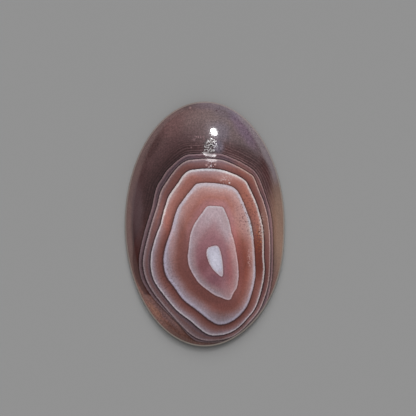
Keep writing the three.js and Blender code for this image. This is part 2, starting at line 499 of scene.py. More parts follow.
# line and line_width: colours of the pale line at the upper right and at the lower left, and its widths there
# in millimetres. upper and lower: colours behind the line at the upper right and at the lower left, each with
# its share of the way to the next line. seam: how dark the seam just outside the line is. stains: where the
# flesh is stained, as middle and radii in millimetres, lean in degrees, colour and strength.
Band = namedtuple("Band", "outline line line_width upper lower seam stains")
Stain = namedtuple("Stain", "centre radii lean colour strength")
BANDS = (
    Band(
        outline=OUTER_LINE,
        line=("dusk", "slate"),
        line_width=(0.2, 0.24),
        upper=(("grape", 0.3), ("plum", 0.5), ("grape", 0.66), ("plum", 0.9)),
        lower=(("grape", 0.25), ("grape", 0.5), ("plum", 0.85)),
        seam=0.5,
        stains=(
            Stain((12.4, -4.0), (1.6, 12.0), 0, "dusk", 0.7),
            Stain((8.4, -19.0), (2.4, 7.0), -42, "dusk", 0.2),
            Stain((8.3, 9.0), (1.6, 7.0), 42, "clay", 0.4),
            Stain((0.5, 12.6), (4.0, 1.3), 0, "brick", 0.3),
        ),
    ),
    Band(
        outline=GREY_LINE,
        line=("ash", "dove"),
        line_width=(0.2, 0.24),
        upper=(("mist", 0.12), ("cedar", 0.28), ("clay", 0.44), ("brick", 0.64), ("sienna", 0.88)),
        lower=(("taupe", 0.24), ("cocoa", 0.5), ("grape", 0.68), ("plum", 0.98)),
        seam=0.6,
        stains=(
            Stain((11.4, 0.0), (1.3, 9.0), 4, "cedar", 0.5),
            Stain((11.3, 1.0), (1.1, 5.5), 6, "fawn", 0.4),
            Stain((0.8, 11.5), (6.5, 1.2), -2, "mist", 0.28),
            Stain((7.0, -18.4), (3.0, 9.0), -42, "cedar", 0.4),
            Stain((-9.6, -2.0), (1.4, 7.0), 8, "brick", 0.4),
            Stain((-5.4, 9.4), (4.5, 2.2), 40, "clay", 0.35),
        ),
    ),
    Band(
        outline=WHITE_LINE,
        line=("chalk", "frost"),
        line_width=(0.32, 0.23),
        upper=(("shell", 0.14), ("petal", 0.22), ("salmon", 0.42), ("terracotta", 0.65), ("clay", 0.9)),
        lower=(
            ("haze", 0.14),
            ("mist", 0.33),
            ("cedar", 0.48),
            ("brick", 0.68),
            ("sienna", 0.82),
            ("oxblood", 0.97),
        ),
        seam=0.7,
        stains=(
            Stain((10.1, -6.4), (2.2, 6.8), 3, "ember", 0.92),
            Stain((-7.0, 1.8), (1.5, 5.0), -21, "salmon", 0.6),
            Stain((-4.0, 7.2), (3.6, 1.5), 45, "clay", 0.45),
            Stain((0.0, 8.1), (4.0, 0.9), -2, "clay", 0.35),
            Stain((3.2, 8.8), (3.2, 1.1), -14, "petal", 0.35),
            Stain((0.7, 9.5), (5.5, 1.4), -3, "mist", 0.35),
            Stain((8.4, 4.3), (1.9, 5.5), 25, "copper", 0.5),
        ),
    ),
    Band(
        outline=LILAC_LINE,
        line=("pearl", "lilac"),
        line_width=(0.46, 0.5),
        upper=(("opal", 0.13), ("petal", 0.25), ("coral", 0.42), ("salmon", 0.62), ("blush", 0.85)),
        lower=(("haze", 0.17), ("mist", 0.33), ("cedar", 0.43), ("brick", 0.56), ("sienna", 0.75)),
        seam=0.5,
        stains=(
            Stain((7.0, -7.5), (2.2, 7.0), -1, "ember", 0.68),
            Stain((-2.0, 3.8), (3.4, 5.5), -25, "terracotta", 0.3),
            Stain((6.5, 0.5), (1.6, 4.0), 12, "petal", 0.4),
            Stain((-6.6, -3.0), (1.3, 7.0), 12, "coral", 0.25),
            Stain((-3.3, 4.2), (1.3, 3.4), -30, "salmon", 0.35),
            Stain((0.6, 4.1), (1.8, 0.9), 10, "brick", 0.22),
            Stain((-4.0, -3.6), (1.3, 6.0), 6, "brick", 0.6),
        ),
    ),
    Band(
        outline=PINK_LINE,
        line=("pearl", "dawn"),
        line_width=(0.25, 0.25),
        upper=(("orchid", 0.25), ("rose", 0.5), ("mauve", 0.7)),
        lower=(("haze", 0.08), ("mist", 0.24), ("mulberry", 0.5)),
        seam=0.3,
        stains=(
            Stain((-0.3, -6.8), (1.5, 4.0), 0, "mulberry", 0.6),
            Stain((1.7, -10.0), (1.9, 1.4), 25, "mulberry", 0.5),
            Stain((-1.0, -0.5), (1.5, 4.0), -20, "mauve", 0.25),
            Stain((4.3, -12.0), (1.8, 3.0), 0, "rose", 0.35),
        ),
    ),
    Band(
        outline=CORE_EDGE,
        line=("pearl", "pearl"),
        line_width=(0.15, 0.15),
        upper=(("milk", 0.3), ("milk", 0.9)),
        lower=(("milk", 0.3), ("milk", 0.9)),
        seam=0.25,
        stains=(
            Stain((2.0, -6.8), (1.5, 2.6), 15, "snow", 0.7),
            Stain((3.0, -9.5), (0.9, 1.3), 0, "dawn", 0.7),
        ),
    ),
)
SEAM_WIDTH = 0.2
CORE_DEPTH = 1.2

# Millimetres that a band drifts sideways for each millimetre below the dome, and how it spreads
BAND_DRIFT = (0.16, 0.10)
BAND_SPREAD = 0.018


def smooth_curve(points, steps=9):
    """Points of a smooth closed curve through the given ones, which passes tight corners without
    overshooting."""
    points = np.array(points, float)
    before, start, end, after = (np.roll(points, shift, 0) for shift in (1, 0, -1, -2))
    knots = [np.zeros(len(points))]
    for one, other in ((before, start), (start, end), (end, after)):
        knots.append(knots[-1] + np.sqrt(np.linalg.norm(other - one, axis=1)))
    t0, t1, t2, t3 = (knot[:, None] for knot in knots)
    curve = []
    for share in np.arange(steps) / steps:
        t = t1 + (t2 - t1) * share
        a1 = ((t1 - t) * before + (t - t0) * start) / (t1 - t0)
        a2 = ((t2 - t) * start + (t - t1) * end) / (t2 - t1)
        a3 = ((t3 - t) * end + (t - t2) * after) / (t3 - t2)
        b1 = ((t2 - t) * a1 + (t - t0) * a2) / (t2 - t0)
        b2 = ((t3 - t) * a2 + (t - t1) * a3) / (t3 - t1)
        curve.append(((t2 - t) * b1 + (t - t1) * b2) / (t2 - t1))
    return np.stack(curve, 1).reshape(-1, 2)


def depth_inside(places, curve):
    """How far each place lies inside a closed curve, or outside as a negative number."""
    nearest = np.full(len(places), np.inf)
    inside = np.zeros(len(places), bool)
    x, y = places.T
    for (ax, ay), (bx, by) in zip(curve, np.roll(curve, -1, 0)):
        dx, dy = bx - ax, by - ay
        share = np.clip(((x - ax) * dx + (y - ay) * dy) / (dx * dx + dy * dy), 0, 1)
        nearest = np.minimum(nearest, (x - ax - share * dx) ** 2 + (y - ay - share * dy) ** 2)
        if ay != by:
            inside ^= ((ay > y) != (by > y)) & (x < ax + (y - ay) * dx / dy)
    return np.where(inside, 1, -1) * np.sqrt(nearest)


def band_depths(surface):
    """For each point of the surface, how far it lies inside each band's outline, in millimetres."""
    below = surface.depth / MM
    places = surface.points[:, :2] / MM
    spread = 1 + BAND_SPREAD * below
    places = (places - np.outer(below, BAND_DRIFT)) * spread[:, None]
    return [depth_inside(places, smooth_curve(band.outline)) / spread for band in BANDS]


# nodes

# How nodes are laid out for reading: so many in a row, and the distances between them
NODES_IN_ROW = 24
NODE_STEP = (180, -220)


class Nodes:
    """Adds nodes to a material and joins them up, left to right."""

    def __init__(self, tree):
        self.tree = tree
        self.count = 0

    def add(self, kind, **settings):
        node = self.tree.nodes.new(kind)
        row, column = divmod(self.count, NODES_IN_ROW)
        node.location = (NODE_STEP[0] * column, NODE_STEP[1] * row)
        self.count += 1
        for name, value in settings.items():
            setattr(node, name, value)
        return node

    def feed(self, socket, source):
        """Joins a socket to another node's output, or sets it to a number, colour or vector."""
        if isinstance(source, bpy.types.NodeSocket):
            self.tree.links.new(source, socket)
        else:
            socket.default_value = source

    def attribute(self, name, output="Fac"):
        node = self.add("ShaderNodeAttribute", attribute_name=name)
        return node.outputs[output]

    def maths(self, operation, first, second=0.0, clamp=False):
        node = self.add("ShaderNodeMath", operation=operation, use_clamp=clamp)
        self.feed(node.inputs[0], first)
        self.feed(node.inputs[1], second)
        return node.outputs[0]

    def vector(self, operation, first, second=(0.0, 0.0, 0.0), output="Vector"):
        node = self.add("ShaderNodeVectorMath", operation=operation)
        self.feed(node.inputs[0], first)
        if operation == "SCALE":
            self.feed(node.inputs["Scale"], second)
        else:
            self.feed(node.inputs[1], second)
        return node.outputs[output]

    def parts(self, vector):
        node = self.add("ShaderNodeSeparateXYZ")
        self.feed(node.inputs[0], vector)
        return node.outputs[0], node.outputs[1], node.outputs[2]

    def joined(self, x, y, z=0.0):
        node = self.add("ShaderNodeCombineXYZ")
        for socket, source in zip(node.inputs, (x, y, z)):
            self.feed(socket, source)
        return node.outputs[0]

    def step(self, value, start, end, low=0.0, high=1.0):
        """A smooth step from low at start to high at end."""
        node = self.add("ShaderNodeMapRange", interpolation_type="SMOOTHSTEP")
        for socket, source in zip(node.inputs, (value, start, end, low, high)):
            self.feed(socket, source)
        return node.outputs[0]

    def blend(self, share, first, second, kind="MIX"):
        """The first colour, covered by the second one to this share."""
        node = self.add("ShaderNodeMix", data_type="RGBA", blend_type=kind)
        self.feed(node.inputs["Factor"], share)
        for name, source in (("A", first), ("B", second)):
            is_joined = isinstance(source, bpy.types.NodeSocket)
            self.feed(node.inputs[name], source if is_joined else tuple(source) + (1.0,))
        return node.outputs["Result"]

    def grain(self, place, scale, detail=2.0, roughness=0.5):
        node = self.add("ShaderNodeTexNoise")
        self.feed(node.inputs["Vector"], place)
        self.feed(node.inputs["Scale"], scale)
        self.feed(node.inputs["Detail"], detail)
        self.feed(node.inputs["Roughness"], roughness)
        return node.outputs["Fac"]

    def unrest(self, place, scale, detail=2.0, roughness=0.5):
        """Noise that swings about zero."""
        return self.maths("SUBTRACT", self.grain(place, scale, detail, roughness), 0.5)

    def wander(self, place, scale, reach, detail=3.0):
        """The place, moved about by noise over something like half of this reach."""
        aside = self.product(self.unrest(place, scale, detail), reach)
        elsewhere = self.vector("ADD", place, (31.0, 17.0, 5.0))
        along = self.product(self.unrest(elsewhere, scale, detail), reach)
        return self.vector("ADD", place, self.joined(aside, along))

    def product(self, *values):
        result = values[0]
        for value in values[1:]:
            result = self.maths("MULTIPLY", result, value)
        return result

    def total(self, *values):
        result = values[0]
        for value in values[1:]:
            result = self.maths("ADD", result, value)
        return result

    def ramp(self, value, stops):
        """A colour ramp. Stops are (share, colour)."""
        node = self.add("ShaderNodeValToRGB")
        self.feed(node.inputs[0], value)
        elements = node.color_ramp.elements
        while len(elements) < len(stops):
            elements.new(0.5)
        for element, (share, colour) in zip(elements, stops):
            element.position = share
            element.color = tuple(colour) + (1.0,)
        return node.outputs[0]

    def patch(self, place, centre, radii, lean=0.0, full=0.25):
        """A soft oval patch, 1 within this share of its radii and 0 outside them."""
        cos, sin = math.cos(math.radians(lean)), math.sin(math.radians(lean))
        away = self.vector("SUBTRACT", place, (centre[0], centre[1], 0.0))
        across = self.vector("DOT_PRODUCT", away, (cos / radii[0], sin / radii[0], 0.0), output="Value")
        along = self.vector("DOT_PRODUCT", away, (-sin / radii[1], cos / radii[1], 0.0), output="Value")
        distance = self.vector("LENGTH", self.joined(across, along), output="Value")
        return self.step(distance, 1.0, full)

    def region(self, place, fades):
        """The part of the stone where all these fades are full. Each one is an axis, the place where it
        starts and the place where it is full."""
        axes = dict(zip("xyz", self.parts(place)))
        return self.product(*[self.step(axes[axis], start, full) for axis, start, full in fades])


# the stone's material

# Places where the rind is stained or clouded, and where painted reflection lightens it as marked: middle and
# radii in millimetres, lean in degrees, colour and how strongly it covers what is there
RIND_STAINS = (
    Stain((7.3, 17.7), (1.9, 6.0), 33, "heather", 0.55),
    # Partly the rind's own rosy brown, partly painted reflection of the floor along the steep right side
    Stain((14.6, -1.0), (3.4, 15.0), 2, "fawn", 1.0),
    Stain((11.2, 10.2), (0.9, 3.6), 21, "maroon", 0.6),
    # Painted reflection of the grey floor along the steep left side
    Stain((-12.7, 2.5), (1.7, 8.5), 2, "pewter", 0.75),
    Stain((8.0, 12.5), (5.0, 1.9), -34, "smoke_dark", 0.55),
    Stain((-3.3, 13.6), (3.4, 1.2), 12, "rind_dark", 0.45),
    Stain((-7.5, -16.9), (0.9, 6.5), 44.5, "slate", 0.45),
    Stain((-9.2, 15.0), (1.2, 5.5), -32, "rind_dark", 0.55),
    Stain((-6.0, 18.2), (2.4, 3.8), -35, "rosewood", 0.4),
    Stain((-9.3, -16.2), (0.9, 2.6), 40, "apricot", 0.4),
    Stain((-4.9, -20.8), (1.8, 5.5), 58, "bark", 0.6),
)

# Painted light on the polish round the lamp's reflection, which doesn't run on through the stone: painted
# dark reflection and shade under the flat spot, a painted bluish sheen and a painted pale halo
PAINTED_POLISH_LIGHT = (
    Stain((0.9, 14.5), (1.8, 2.1), 0, "pitch", 0.6),
    Stain((2.6, 14.4), (1.5, 1.9), 0, "bloom", 0.75),
    Stain((1.4, 17.6), (2.0, 2.6), 0, "lavender", 0.3),
    Stain((2.2, 16.5), (1.3, 0.9), 0, "lavender", 0.4),
    Stain((3.0, 17.3), (2.6, 2.9), 0, "bloom", 0.5),
)

# Slow changes of tone over rind and bands alike: middle and radii in millimetres, lean in degrees, and what
# red, green and blue are multiplied by, as seen on a screen
Cloud = namedtuple("Cloud", "centre radii lean gain")
CLOUDS = (
    Cloud((-6.4, 9.2), (3.2, 8.2), -40, (0.86, 0.87, 0.88)),
    Cloud((-3.4, 22.4), (3.4, 1.4), 10, (0.86, 0.85, 0.86)),
    Cloud((0.3, 11.3), (6.5, 3.4), 0, (0.93, 0.98, 1.02)),
    Cloud((8.5, 12.7), (5.6, 1.8), -38, (0.88, 0.89, 0.89)),
    Cloud((4.0, 10.3), (2.6, 1.2), -18, (1.08, 1.11, 1.12)),
    Cloud((4.0, 20.6), (3.4, 1.6), -14, (0.93, 0.95, 1.0)),
    Cloud((-13.0, -8.0), (2.4, 5.0), 8, (0.94, 0.94, 0.93)),
    Cloud((-1.6, 2.3), (1.7, 2.2), -30, (0.96, 0.95, 0.96)),
    Cloud((8.3, -9.4), (1.3, 2.0), 0, (1.07, 1.05, 1.03)),
    Cloud((6.5, -3.2), (1.3, 3.0), 0, (0.96, 0.92, 0.89)),
    Cloud((8.6, -0.6), (1.2, 2.4), 0, (1.0, 1.06, 1.06)),
    Cloud((10.3, -2.6), (1.2, 3.6), 0, (0.93, 0.92, 0.90)),
    Cloud((-8.2, 1.6), (1.1, 4.0), -15, (1.12, 1.11, 1.08)),
    Cloud((8.4, 9.2), (1.5, 6.0), 42, (1.07, 1.07, 1.04)),
    Cloud((12.2, 1.0), (1.8, 9.0), 5, (1.09, 1.07, 1.07)),
    Cloud((5.3, -6.5), (1.9, 8.5), -3, (1.05, 0.94, 0.91)),
    Cloud((4.0, 0.7), (1.2, 2.4), 15, (0.96, 0.95, 0.94)),
    Cloud((8.3, -5.6), (1.8, 5.0), -3, (0.98, 0.92, 0.89)),
    Cloud((10.2, -7.2), (1.3, 4.0), 0, (0.89, 0.89, 0.89)),
    Cloud((1.5, 22.3), (6.0, 1.4), 0, (0.96, 0.98, 1.04)),
    Cloud((2.5, -17.6), (3.0, 1.6), 0, (0.93, 0.92, 0.91)),
    Cloud((-0.1, -7.6), (1.5, 2.4), -15, (0.91, 0.87, 0.86)),
    Cloud((1.6, -10.4), (2.1, 1.4), 20, (0.93, 0.92, 0.94)),
    Cloud((-6.6, -1.0), (1.2, 4.0), 10, (1.06, 1.0, 0.97)),
    Cloud((6.9, -13.2), (4.2, 5.2), -15, (1.08, 1.05, 1.03)),
    Cloud((2.4, -15.6), (3.4, 1.4), -8, (1.07, 1.05, 1.05)),
    Cloud((7.3, -19.8), (2.8, 1.8), 28, (0.88, 0.88, 0.87)),
    Cloud((3.4, -21.7), (3.2, 1.0), 8, (0.89, 0.87, 0.85)),
)

# Loose grains of another colour, some of them painted glints and painted shade as marked: middle and radii of
# the place that they lie in, colour and strength, and whether they are dark grains or pale ones
Grains = namedtuple("Grains", "centre radii colour strength dark")
GRAINS = (
    Grains((10.3, -2.0), (1.0, 4.2), "rust", 1.0, False),
    Grains((10.6, -0.6), (0.7, 3.0), "chalk", 0.7, False),
    Grains((10.1, -1.6), (1.0, 4.2), "bark", 0.9, True),
    Grains((8.5, -6.3), (0.7, 3.0), "petal", 0.8, False),
    # The pale grains here are painted glints of the lamp in small pits of the polish
    Grains((3.9, 8.3), (1.4, 1.1), "shell", 1.0, False),
    Grains((2.8, 6.3), (0.9, 0.6), "shell", 0.7, False),
    # Pale and dark specks below the strokes: the pale ones are painted glints of the lamp
    Grains((1.3, 11.0), (1.1, 0.9), "pearl", 0.9, False),
    Grains((1.5, 11.0), (1.1, 0.9), "oxblood", 0.8, True),
    # Painted glints of the lamp on the polish beside its reflection
    Grains((-1.1, 15.9), (1.6, 0.9), "mist", 0.8, False),
    # Dark grains here are painted shade and dark reflection in the pits of the flat spot
    Grains((1.1, 14.5), (2.0, 1.9), "pitch", 1.0, True),
    Grains((3.2, 13.9), (1.3, 1.2), "pitch", 0.5, True),
    Grains((8.0, 2.0), (2.6, 6.0), "oxblood", 0.6, True),
    Grains((-8.0, -12.0), (5.0, 8.0), "oxblood", 0.3, True),
)

# Small pits and specks, some of them painted glints as marked: middle and radius in millimetres, colour and
# strength
Dot = namedtuple("Dot", "centre radius colour strength")
DOTS = (
    Dot((2.2, 21.25), 0.24, "plum", 0.8),
    Dot((2.8, 21.7), 0.16, "plum", 0.6),
    Dot((-2.7, 21.8), 0.26, "petal", 0.4),
    # Painted glint of the lamp in a small pit of the polish
    Dot((4.62, 7.68), 0.22, "chalk", 0.8),
    # Pale specks here are painted glints of the lamp on the polish below its reflection; the dark ones lie
    # between them
    Dot((0.35, 11.0), 0.3, "petal", 0.6),
    Dot((1.95, 11.1), 0.26, "petal", 0.8),
    Dot((0.85, 10.65), 0.2, "shell", 0.8),
    Dot((1.25, 11.2), 0.2, "oxblood", 0.8),
    Dot((1.8, 10.6), 0.18, "oxblood", 0.8),
    # Painted glints of the lamp on the polish beside its reflection
    Dot((-1.95, 15.75), 0.3, "mist", 0.45),
    Dot((-2.5, 14.3), 0.22, "mist", 0.4),
)

# Fine ripples left in the polish: middle and radii of the patch, and their height, all in millimetres
RIPPLES = ((1.1, 11.4), (1.6, 0.9), 0.02)

# The flat spot that the wheel left below the lamp's reflection: middle and radii in millimetres, and lean in
# degrees. Small dents cover it, so many to the millimetre. They turn the surface by up to about half of this
# slope.
FLAT_SPOT = ((1.05, 14.35), (1.2, 2.0), -22)
FLAT_SHARE = 0.78
DENT_SLOPE = 0.64
DENTS_PER_MILLIMETRE = 2.3

# Two strokes of the wheel below the flat spot: middle, radii and lean
STROKES = (
    ((0.85, 13.0), (1.85, 0.38), -14),
    ((1.25, 11.88), (1.45, 0.42), -9),
)
STROKE_SHARE = 0.93

# The flattened part of the dome below the lamp's reflection: middle and radii in millimetres
FLATTENED = ((1.1, 13.8), (2.1, 3.5))

# The place of the lamp's reflection in millimetres, how much the dome turns for each millimetre across and
# along there, and how far the flattened places lean beyond that
REFLECTION = (2.0, 16.6)
DOME_TURN = (0.04, 0.031)
FLAT_LEAN = 0.034

# Places where the polish is worn: middle and radii in millimetres, and how much rougher they are
WORN = (
    ((1.0, 14.3), (1.8, 1.9), 0.11),
    ((0.9, 13.0), (2.4, 0.7), 0.09),
    ((1.3, 11.8), (2.2, 0.9), 0.16),
)

# A patch of the polish that is brushed along the stone: middle and radii
BRUSHED_PATCH = ((3.6, 15.2), (1.9, 3.0))

# How noise is stretched for the hatched rind, the brushed polish and the scratches of the lapped back
HATCHING = (3.0, 0.7, 1.0)
BRUSHING = (2.4, 0.6, 1.0)
LAPPING = (0.25, 7.0, 1.0)

# Heights of the grit and of the lapping scratches in millimetres
GRIT_HEIGHT = 0.012
SCRATCH_HEIGHT = 0.008

# Least and most roughness of the polish, and how much rougher ground stone is
POLISH_ROUGHNESS = (0.07, 0.10)
GROUND_ROUGHER = 0.42

# How far the ground parts are frosted, how much more so the edge, and by how much painted light on the edge
# swings round the stone, to lift it out of shade away from the lamps
FROST = 0.42
EDGE_FROST = 0.13
EDGE_LIGHT_SWING = 0.3

# Contrasts of the fine texture: fibres, brushing, and speckles in the bands and in the rind
FIBRE_CONTRAST = 0.55
BRUSHING_CONTRAST = 1.3
SPECKLE_CONTRAST = (1.0, 2.1)

# The direction from the middle of the stone in which its ground edge is palest, where painted light lifts it
# most out of shade
EDGE_LIGHT_DIRECTION = (math.cos(math.radians(-75)), math.sin(math.radians(-75)), 0.0)

# The place that the band's fibres and streaks are drawn round, in millimetres
GROWTH_MIDDLE = (1.0, -5.0, 0.0)

# Width of the rind, and its colours on either side, each with its share of that width from the first line
RIND_WIDTH = 8.0
RIND_LEFT = (("rind_dark", 0.15), ("rind_middle", 0.45), ("rind_light", 0.8))
RIND_RIGHT = (("smoke_dark", 0.14), ("smoke_middle", 0.42), ("smoke_light", 0.8))

# How far clouds shift the rind's colours, as a share of its width
RIND_CLOUDS = 0.22

# Distance between the growth lines in the rind, and how far they waver, as an angle
GROWTH_SPACING = 0.44
GROWTH_WAVER = 11.0

# How far the bands' lines waver, slowly and finely, and how far in from their outlines they are set, all in
# millimetres
SLOW_WAVER = 0.12
FINE_WAVER = 0.2
SET_IN = 0.045

# How loose grains and clouds shift the colours behind a line, as shares of the way to the next line. The
# grains do it most just behind the line and least from this share of the way on.
LOOSEST = 0.16
FIRMEST = 0.03
FIRM_FROM = 0.7
FLESH_CLOUDS = 0.14

# The inner edge of a line: how ragged it is in millimetres, and the shares of the line's width between which
# it fades
RAGGED = 0.22
LINE_FADE = (0.75, 1.5)

# On the crisp side of the stone, lines are thinner by this share of their width, and the colours behind them
# start further in by this share of the way to the next line
CRISP_LINE = 0.3
CRISP_START = 0.13

# How many times to the millimetre the edges of stains and clouds wander, and how far in millimetres
STAIN_WANDER = (0.5, 0.9)

# Parts of the stone, by the places where they fade in: an axis, where the fade starts and where it is full
# The next part is the steep left side, where the floor's reflection and light through the thin edge are
# painted into the colour
LEFT_RIM_SHEEN = (("z", 3.3, 2.5), ("x", -5.0, -10.0), ("y", 19.0, 3.0))
RED_WEDGE = (("y", -13.5, -13.1), ("y", 4.0, -4.0), ("x", -8.0, -10.0))
UPPER_RIGHT = (("x", 2.0, 8.0), ("y", 6.5, 9.5))
CRISP_SIDE = (("x", 3.0, 8.5),)
BELOW_LAMP = (("y", 16.2, 15.8),)
ABOVE_STROKES = (("y", 13.3, 13.6),)
# The last part is the thin edge, which painted light brightens as though light came through it
THIN_EDGE = (("z", 3.9, 1.3), ("z", 0.3, 1.2), ("y", 12.0, -18.0))


def stone_place(nodes):
    """Place in the stone, in millimetres."""
    coordinates = nodes.add("ShaderNodeTexCoord").outputs["Object"]
    return nodes.vector("SCALE", coordinates, 1 / MM)


def growth_bearing(nodes, place):
    """Direction from the middle of the growth, the same at any distance from it."""
    x, y, _ = nodes.parts(nodes.vector("SUBTRACT", place, GROWTH_MIDDLE))
    return nodes.vector("NORMALIZE", nodes.joined(x, y))


def streaks(nodes, depth, bearing, per_millimetre, length=5.0):
    """Fine streaks that run along the bands, from 0 to 1."""
    bx, by, _ = nodes.parts(bearing)
    across = nodes.product(depth, per_millimetre)
    course = nodes.joined(across, nodes.product(bx, length), nodes.product(by, length))
    return nodes.grain(course, 1.0, 3.0, 0.65)


def scatter(nodes, place):
    """Noise that tells where grains and pits are scattered: high at pale ones and low at dark ones."""
    return nodes.grain(place, 2.9, 2.0, 0.6)


def wavering_depths(nodes, place):
    """The bands' depths with the small unsteadiness of a grown line, and set a little way in."""
    slow = nodes.product(nodes.unrest(place, 0.55), SLOW_WAVER)
    fine = nodes.product(nodes.unrest(place, 3.2, 3.0, 0.6), FINE_WAVER)
    shift = nodes.total(slow, fine, -SET_IN)
    depths = []
    for name in ("outer_bands", "inner_bands"):
        depths += nodes.parts(nodes.attribute(name, "Vector"))
    return [nodes.maths("ADD", depth, shift) for depth in depths]


def shades(nodes, palette, share, stops):
    """A run of the palette's colours, each at its share from 0 to 1."""
    return nodes.ramp(share, [(at, getattr(palette, name)) for name, at in stops])


def stained(nodes, palette, place, colour, stains, share=1.0):
    """The colour with stains over it, all of them only to this share."""
    unsteady = nodes.wander(place, *STAIN_WANDER)
    for stain in stains:
        patch = nodes.patch(unsteady, stain.centre, stain.radii, stain.lean)
        strength = nodes.product(patch, stain.strength, share)
        colour = nodes.blend(strength, colour, getattr(palette, stain.colour))
    return colour


def clouded(nodes, place, colour):
    """The colour with the slow changes of tone."""
    unsteady = nodes.wander(place, *STAIN_WANDER)
    for cloud in CLOUDS:
        patch = nodes.patch(unsteady, cloud.centre, cloud.radii, cloud.lean)
        gain = tuple(part**SCREEN_GAMMA for part in cloud.gain)
        colour = nodes.blend(patch, colour, gain, "MULTIPLY")
    return colour


def left_side(nodes, palette, place, away, colour):
    """The left side of the rind: a brown rim of painted reflection of the floor and painted light through the
    thin edge, orange-brown round the lower end, and along the first line a dark red wedge that stops short at
    its tip."""
    x, y, _ = nodes.parts(place)
    # Painted reflection of the floor and painted light through the thin edge, as a brown rim
    rim = nodes.region(place, LEFT_RIM_SHEEN)
    colour = nodes.blend(nodes.product(rim, 0.85), colour, palette.left_rim_sheen)

    lower_end = nodes.product(nodes.step(y, -5.0, -12.0), nodes.step(x, 2.0, -5.0, 0.55, 1.0))
    hatching = nodes.grain(nodes.vector("MULTIPLY", place, HATCHING), 1.0, 2.0)
    hatched = nodes.step(hatching, 0.35, 0.65, 0.62, 1.0)
    colour = nodes.blend(nodes.product(lower_end, hatched), colour, palette.umber)

    narrowing = nodes.step(y, -3.0, -13.3, 0.0, 0.45)
    beside_line = nodes.step(nodes.maths("ADD", away, narrowing), 1.55, 1.15)
    wedge = nodes.product(beside_line, nodes.region(place, RED_WEDGE))
    return nodes.blend(nodes.product(wedge, 0.9), colour, palette.maroon)


def painted_rim_sheen(nodes, palette, place, colour):
    """Painted reflection of the floor: the pale grey rim along the upper right, which starts lower down the
    dome towards the plain end.
    """
    _, y, z = nodes.parts(place)
    rise = nodes.product(nodes.maths("SUBTRACT", y, 8.0), 0.106)
    narrowing = nodes.step(y, 13.5, 9.5, 0.0, 0.7)
    low_enough = nodes.step(nodes.total(z, rise, narrowing), 3.75, 3.05)
    rim = nodes.product(low_enough, nodes.region(place, UPPER_RIGHT))
    return nodes.blend(nodes.product(rim, 0.7), colour, palette.lavender)


def growth_lines(nodes, palette, place, depth, bearing, colour):
    """Fine growth lines in the rind beside the first line, clearest at the upper right."""
    x, y, _ = nodes.parts(place)
    wander = nodes.product(streaks(nodes, depth, bearing, 1.1, 2.5), GROWTH_WAVER)
    turns = nodes.product(depth, 2 * math.pi / GROWTH_SPACING)
    rings = nodes.maths("SINE", nodes.total(turns, wander))
    patchy = nodes.step(streaks(nodes, depth, bearing, 1.3, 2.0), 0.35, 0.65, 0.3, 1.0)
    near = nodes.step(depth, -3.8, -0.6, 0.05, 0.5)
    upwards = nodes.step(y, -2.0, 9.0, 0.2, 1.0)
    rightwards = nodes.step(x, -8.0, 2.0, 0.2, 1.0)
    strength = nodes.product(nodes.step(rings, -0.2, 1.0), patchy, near, upwards, rightwards)
    return nodes.blend(strength, colour, palette.dusk)


def rind_colour(nodes, palette, place, depth, bearing):
    """The smoky outer stone: light towards the edge and dark next to the first line, with painted reflection
    of the floor along its steep sides.
    """
    x, _, _ = nodes.parts(place)
    away = nodes.maths("MULTIPLY", depth, -1.0)
    cloud = nodes.product(nodes.unrest(place, 0.22, 4.0, 0.6), RIND_CLOUDS)
    share = nodes.total(nodes.maths("DIVIDE", away, RIND_WIDTH), cloud)
    left = shades(nodes, palette, share, RIND_LEFT)
    right = shades(nodes, palette, share, RIND_RIGHT)
    colour = nodes.blend(nodes.step(x, -6.0, 3.0), left, right)
    colour = left_side(nodes, palette, place, away, colour)
    colour = stained(nodes, palette, place, colour, RIND_STAINS)
    colour = painted_rim_sheen(nodes, palette, place, colour)
    return growth_lines(nodes, palette, place, depth, bearing, colour)


def band_colour(nodes, palette, place, band, depth, next_depth, upperness, grit):
    """The colour inside one band: a crisp pale line with a grainy inner edge, and the flesh behind it, which
    darkens inwards."""
    crisp = nodes.region(place, CRISP_SIDE)
    width = nodes.maths("SUBTRACT", depth, next_depth)
    share = nodes.maths("DIVIDE", depth, width, clamp=True)
    share = nodes.total(share, nodes.product(crisp, nodes.maths("SUBTRACT", 1.0, share), CRISP_START))
    loose = nodes.product(grit, nodes.step(share, 0.0, FIRM_FROM, LOOSEST, FIRMEST))
    cloud = nodes.product(nodes.unrest(place, 0.7, 4.0, 0.6), FLESH_CLOUDS)
    share = nodes.maths("ADD", share, nodes.maths("ADD", loose, cloud), clamp=True)
    upper_flesh = shades(nodes, palette, share, band.upper)
    lower_flesh = shades(nodes, palette, share, band.lower)
    flesh = nodes.blend(upperness, lower_flesh, upper_flesh)
    flesh = stained(nodes, palette, place, flesh, band.stains)

    at_upper, at_lower = band.line_width
    line_width = nodes.step(upperness, 0.0, 1.0, at_lower, at_upper)
    ragged = nodes.total(depth, nodes.product(grit, RAGGED), nodes.product(crisp, at_upper, CRISP_LINE))
    fade = [nodes.product(line_width, share_of_width) for share_of_width in LINE_FADE]
    upper_line, lower_line = (getattr(palette, name) for name in band.line)
    line = nodes.blend(upperness, lower_line, upper_line)
    return nodes.blend(nodes.step(ragged, *fade), line, flesh)


